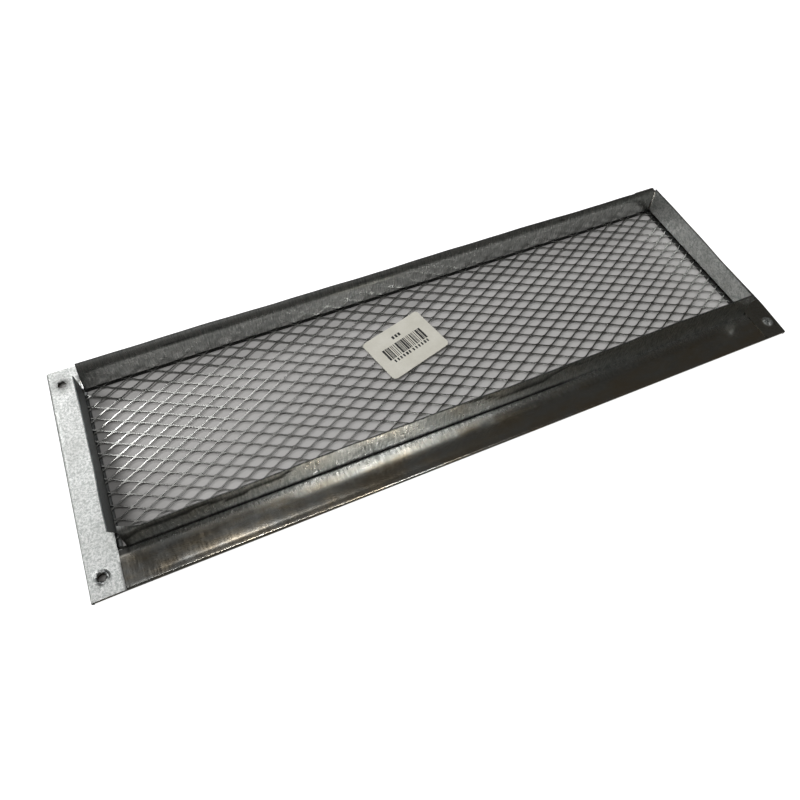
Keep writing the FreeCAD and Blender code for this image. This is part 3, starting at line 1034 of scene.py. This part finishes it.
def streaked_zinc():
    """Brighter rolled zinc with fine streaks across the rail: the long rails.

    Where it has tarnished it is greyer, stained brown in places, and its sheen
    is more even.
    """
    material, tree, shader = new_material("streaked_zinc_sheet")
    shader.inputs["Metallic"].default_value = 1.0
    place = stretched(tree)
    tarnish_and_shade = stored(tree, "tarnish_and_shade")
    shade_and_grime = stored(tree, "shade_and_grime")
    streaks = noise(tree, stretched(tree, (1250, 220, 220)), scale=1.0, detail=4.0)
    grains = noise(tree, place, scale=480.0, detail=4.0, roughness=0.65)
    patches = noise(tree, place, scale=90.0, distortion=0.5)
    mottle = weighted(tree, (streaks, 0.6), (grains, 0.2), (patches, 0.2))
    tone = ramp(tree, mottle, (0.40, (0.36, 0.375, 0.365)),
                (0.50, (0.52, 0.53, 0.515)), (0.60, (0.70, 0.70, 0.68)))
    stains = noise(tree, stretched(tree, (60, 140, 140)), scale=1.0, detail=4.0,
                   roughness=0.65)
    brown = calc(tree, "MULTIPLY", tarnish_and_shade,
                 remap(tree, stains, (0.38, 0.62), (0.1, 0.9)))
    tone = blend(tree, weighted(tree, (tarnish_and_shade, 0.4)), tone, TARNISH_GREY)
    tone = blend(tree, brown, tone, STAIN_BROWN)
    # Painted shade in the seam at the wall's foot and at the torn corner, and
    # darkening on the cut top edge and round a pressed hole.
    tone = blend(tree, weighted(tree, (shade_and_grime, 0.93)), tone, SHADE_AND_GRIME_BLACK)
    link(tree, tone, shader.inputs["Base Color"])
    dull = calc(tree, "SUBTRACT", remap(tree, mottle, (0.38, 0.64), (0.35, 0.25)),
                weighted(tree, (tarnish_and_shade, 0.11)))
    link(tree, calc(tree, "ADD", dull, weighted(tree, (shade_and_grime, 0.3))),
         shader.inputs["Roughness"])
    relief = calc(tree, "MULTIPLY", mottle,
                  remap(tree, tarnish_and_shade, (0.0, 1.0), (1.0, 0.4)))
    link(tree, bump(tree, relief, strength=0.03, distance=0.0003),
         shader.inputs["Normal"])
    return material


def mesh_zinc():
    """Zinc on the strands, slightly lumpy from the dip.

    The left part is painted darker and duller, as painted shade, except for one spot
    where the highlight is left, and the front left corner is painted black as painted
    shade.
    """
    material, tree, shader = new_material("strand_zinc")
    shader.inputs["Metallic"].default_value = 1.0
    place = stretched(tree)
    lumps = noise(tree, place, scale=900.0, detail=2.0)
    patches = noise(tree, place, scale=60.0, detail=2.0)
    tone = ramp(tree, weighted(tree, (lumps, 0.3), (patches, 0.7)),
                (0.36, (0.40, 0.405, 0.39)), (0.62, (0.52, 0.52, 0.50)))
    # The lit spot is where the strands keep their highlight; elsewhere at the left
    # they are painted darker as painted shade.
    from_lit_spot = away_from(tree, (-0.128, 0.014), (0.080, 0.030))
    from_left = away_from(tree, (-0.172, 0.0), (1.0, 100.0))
    from_corner = away_from(tree, (-0.172, -0.044), (0.006, 0.006))
    shade_and_dull = calc(tree, "MULTIPLY", remap(tree, from_lit_spot, (0.5, 1.5), (0.0, 1.0)),
                remap(tree, from_left, (0.09, 0.13), (1.0, 0.0)))
    tone = blend(tree, shade_and_dull, tone, STRAND_SHADE_GREY)
    # Painted shade: the screen in the open front left corner is painted black.
    tone = blend(tree, remap(tree, from_corner, (0.7, 1.4), (1.0, 0.0)), tone,
                 SHADE_AND_GRIME_BLACK)
    link(tree, tone, shader.inputs["Base Color"])
    dull = remap(tree, patches, (0.3, 0.7), (0.25, 0.29))
    link(tree, calc(tree, "ADD", dull, weighted(tree, (shade_and_dull, 0.26))),
         shader.inputs["Roughness"])
    link(tree, bump(tree, lumps, strength=0.015, distance=0.0003),
         shader.inputs["Normal"])
    return material


def cream_paper():
    material, tree, shader = new_material("cream_label_paper")
    fibres = noise(tree, stretched(tree, (900, 2600, 900)), scale=1.0)
    blotches = noise(tree, stretched(tree), scale=110.0, detail=2.0)
    tone = ramp(tree, weighted(tree, (fibres, 0.4), (blotches, 0.6)),
                (0.35, PAPER_DARK), (0.65, PAPER_LIGHT))
    link(tree, tone, shader.inputs["Base Color"])
    link(tree, remap(tree, fibres, (0.3, 0.7), (0.62, 0.8)),
         shader.inputs["Roughness"])
    shader.inputs["Specular IOR Level"].default_value = 0.3
    link(tree, bump(tree, fibres, strength=0.25, distance=0.0001),
         shader.inputs["Normal"])
    return material


def printed_ink():
    material, tree, shader = new_material("black_ink")
    speckle = noise(tree, stretched(tree), scale=2600.0, detail=2.0)
    tone = ramp(tree, speckle, (0.45, INK_BLACK), (0.75, INK_THIN))
    link(tree, tone, shader.inputs["Base Color"])
    link(tree, remap(tree, speckle, (0.3, 0.7), (0.45, 0.6)),
         shader.inputs["Roughness"])
    return material


# --------------------------------------------------------------------- build

def paint(obj, material, slot_name, *nodes):
    obj.data.materials.clear()
    obj.data.materials.append(material)
    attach(obj, "root")
    if nodes:
        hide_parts(*nodes)


long_finish = streaked_zinc()
finishes = {
    "front_rail": long_finish, "rear_rail": long_finish,
    "left_end_rail": spangled_zinc("spangled_zinc_left", 1.12, 780.0, LEFT_WALL_SHADE),
    "right_end_rail": spangled_zinc("spangled_zinc_right", 1.08, 190.0, WORN_RIGHT),
}
for rail in RAILS:
    paint(build_rail(rail), finishes[rail["node"]], "galvanised_sheet", rail["node"])
paint(build_screen(), mesh_zinc(), "galvanised_mesh", "expanded_metal_screen")
paint(build_label(), cream_paper(), "label_paper", "paper_label")
paint(build_print(), printed_ink(), "label_paper")


# --------------------------------------------------------------------- stage

FLOOR_HALF = 3.0
CARD_GREY = (0.57, 0.56, 0.55)
CARD_DARK = (0.13, 0.125, 0.12)
NO_GLOW = (0, 0, 0)
LIGHT_DISTANCE = 2.0

# Name, direction it shines from, size and power of each light.
LIGHTS = (
    ("rear_window", (-0.035, 0.655, 0.75), (0.34, 0.17), 1.0),
    ("left_window", (-0.36, 0.64, 0.68), (0.4, 0.3), 8.5),
    ("front_lamp", (0.157, -0.39, 0.905), (0.2, 0.3), 3.8),
    ("top_panel", (-0.06, 0.115, 0.99), (0.2, 0.14), 3.8),
    ("left_side", (-0.85, 0.10, 0.45), (1.4, 1.4), 12.0),
    ("matt_fill", (-0.52, 0.05, 0.85), (0.8, 0.8), 14.0),
)


def flat_sheet(name, half_x, half_y, z, diffuse, glow):
    """Stage surface: matt, with a glow of its own like a light table."""
    mesh = bpy.data.meshes.new(name)
    corners = [(-half_x, -half_y), (half_x, -half_y), (half_x, half_y),
               (-half_x, half_y)]
    mesh.from_pydata([(x, y, z) for x, y in corners], [], [(0, 1, 2, 3)])
    sheet = bpy.data.objects.new(name, mesh)
    bpy.context.scene.collection.objects.link(sheet)
    material, tree, shader = new_material(name + "_white")
    shader.inputs["Base Color"].default_value = (*diffuse, 1)
    shader.inputs["Roughness"].default_value = 0.9
    shader.inputs["Specular IOR Level"].default_value = 0.1
    shader.inputs["Emission Color"].default_value = (*glow, 1)
    shader.inputs["Emission Strength"].default_value = 1.0
    mesh.materials.append(material)
    return sheet, tree, shader


def soft_light(name, direction, size, power):
    """Rectangular area light that shines at the vent from a direction."""
    data = bpy.data.lights.new(name, "AREA")
    data.shape = "RECTANGLE"
    data.size, data.size_y = size
    data.energy = power
    light = bpy.data.objects.new(name, data)
    bpy.context.scene.collection.objects.link(light)
    way = Vector(direction).normalized()
    light.location = way * LIGHT_DISTANCE
    light.rotation_euler = way.to_track_quat("Z", "Y").to_euler()
    return light


def build_floor():
    """A white floor to look at, and a dimmer one under it for the metal."""
    floor, _, _ = flat_sheet("floor", FLOOR_HALF, FLOOR_HALF, -0.0006,
                             (0.5, 0.5, 0.5), (0.97, 0.97, 0.97))
    floor.visible_glossy = False
    floor.visible_diffuse = False
    table, _, _ = flat_sheet("table", FLOOR_HALF, FLOOR_HALF, -0.0007,
                             (0.5, 0.49, 0.47), (0.1, 0.1, 0.095))
    table.visible_camera = False


def build_card():
    """Grey card under the vent, in deeper shade at the front left corner."""
    _, tree, shader = flat_sheet("floor_card", 0.1862, 0.0602, -0.0003,
                                 CARD_GREY, NO_GLOW)
    off = away_from(tree, (-0.176, -0.052), (0.034, 0.050))
    shade_there = remap(tree, off, (0.25, 1.3), (0.62, 0.0))
    link(tree, blend(tree, shade_there, CARD_GREY, CARD_DARK),
         shader.inputs["Base Color"])


def build_world():
    world = bpy.data.worlds.new("studio")
    world.use_nodes = True
    background = world.node_tree.nodes["Background"]
    background.inputs["Color"].default_value = (1, 0.97, 0.9, 1)
    background.inputs["Strength"].default_value = 0.05
    bpy.context.scene.world = world
    bpy.context.scene.view_settings.view_transform = "Standard"


build_floor()
build_card()
lights = {entry[0]: soft_light(*entry) for entry in LIGHTS}
lights["left_side"].visible_diffuse = False
lights["matt_fill"].visible_glossy = False
build_world()


# -------------------------------------------------------------------- camera

def build_camera():
    """High three-quarter view from beyond the front left corner."""
    data = bpy.data.cameras.new("camera")
    data.lens = 32.33
    data.sensor_width = 36.0
    data.shift_x = -0.0119
    data.shift_y = -0.0829
    camera = bpy.data.objects.new("camera", data)
    bpy.context.scene.collection.objects.link(camera)
    right = Vector((0.90736, -0.41762, 0.04792))
    down = Vector((-0.30823, -0.73849, -0.59969))
    forward = Vector((0.28583, 0.52937, -0.79881))
    place = Vector((-0.1186, -0.1896, 0.3101))
    turn = Matrix((right, -down, -forward)).transposed().to_4x4()
    camera.matrix_world = Matrix.Translation(place) @ turn
    bpy.context.scene.camera = camera


build_camera()
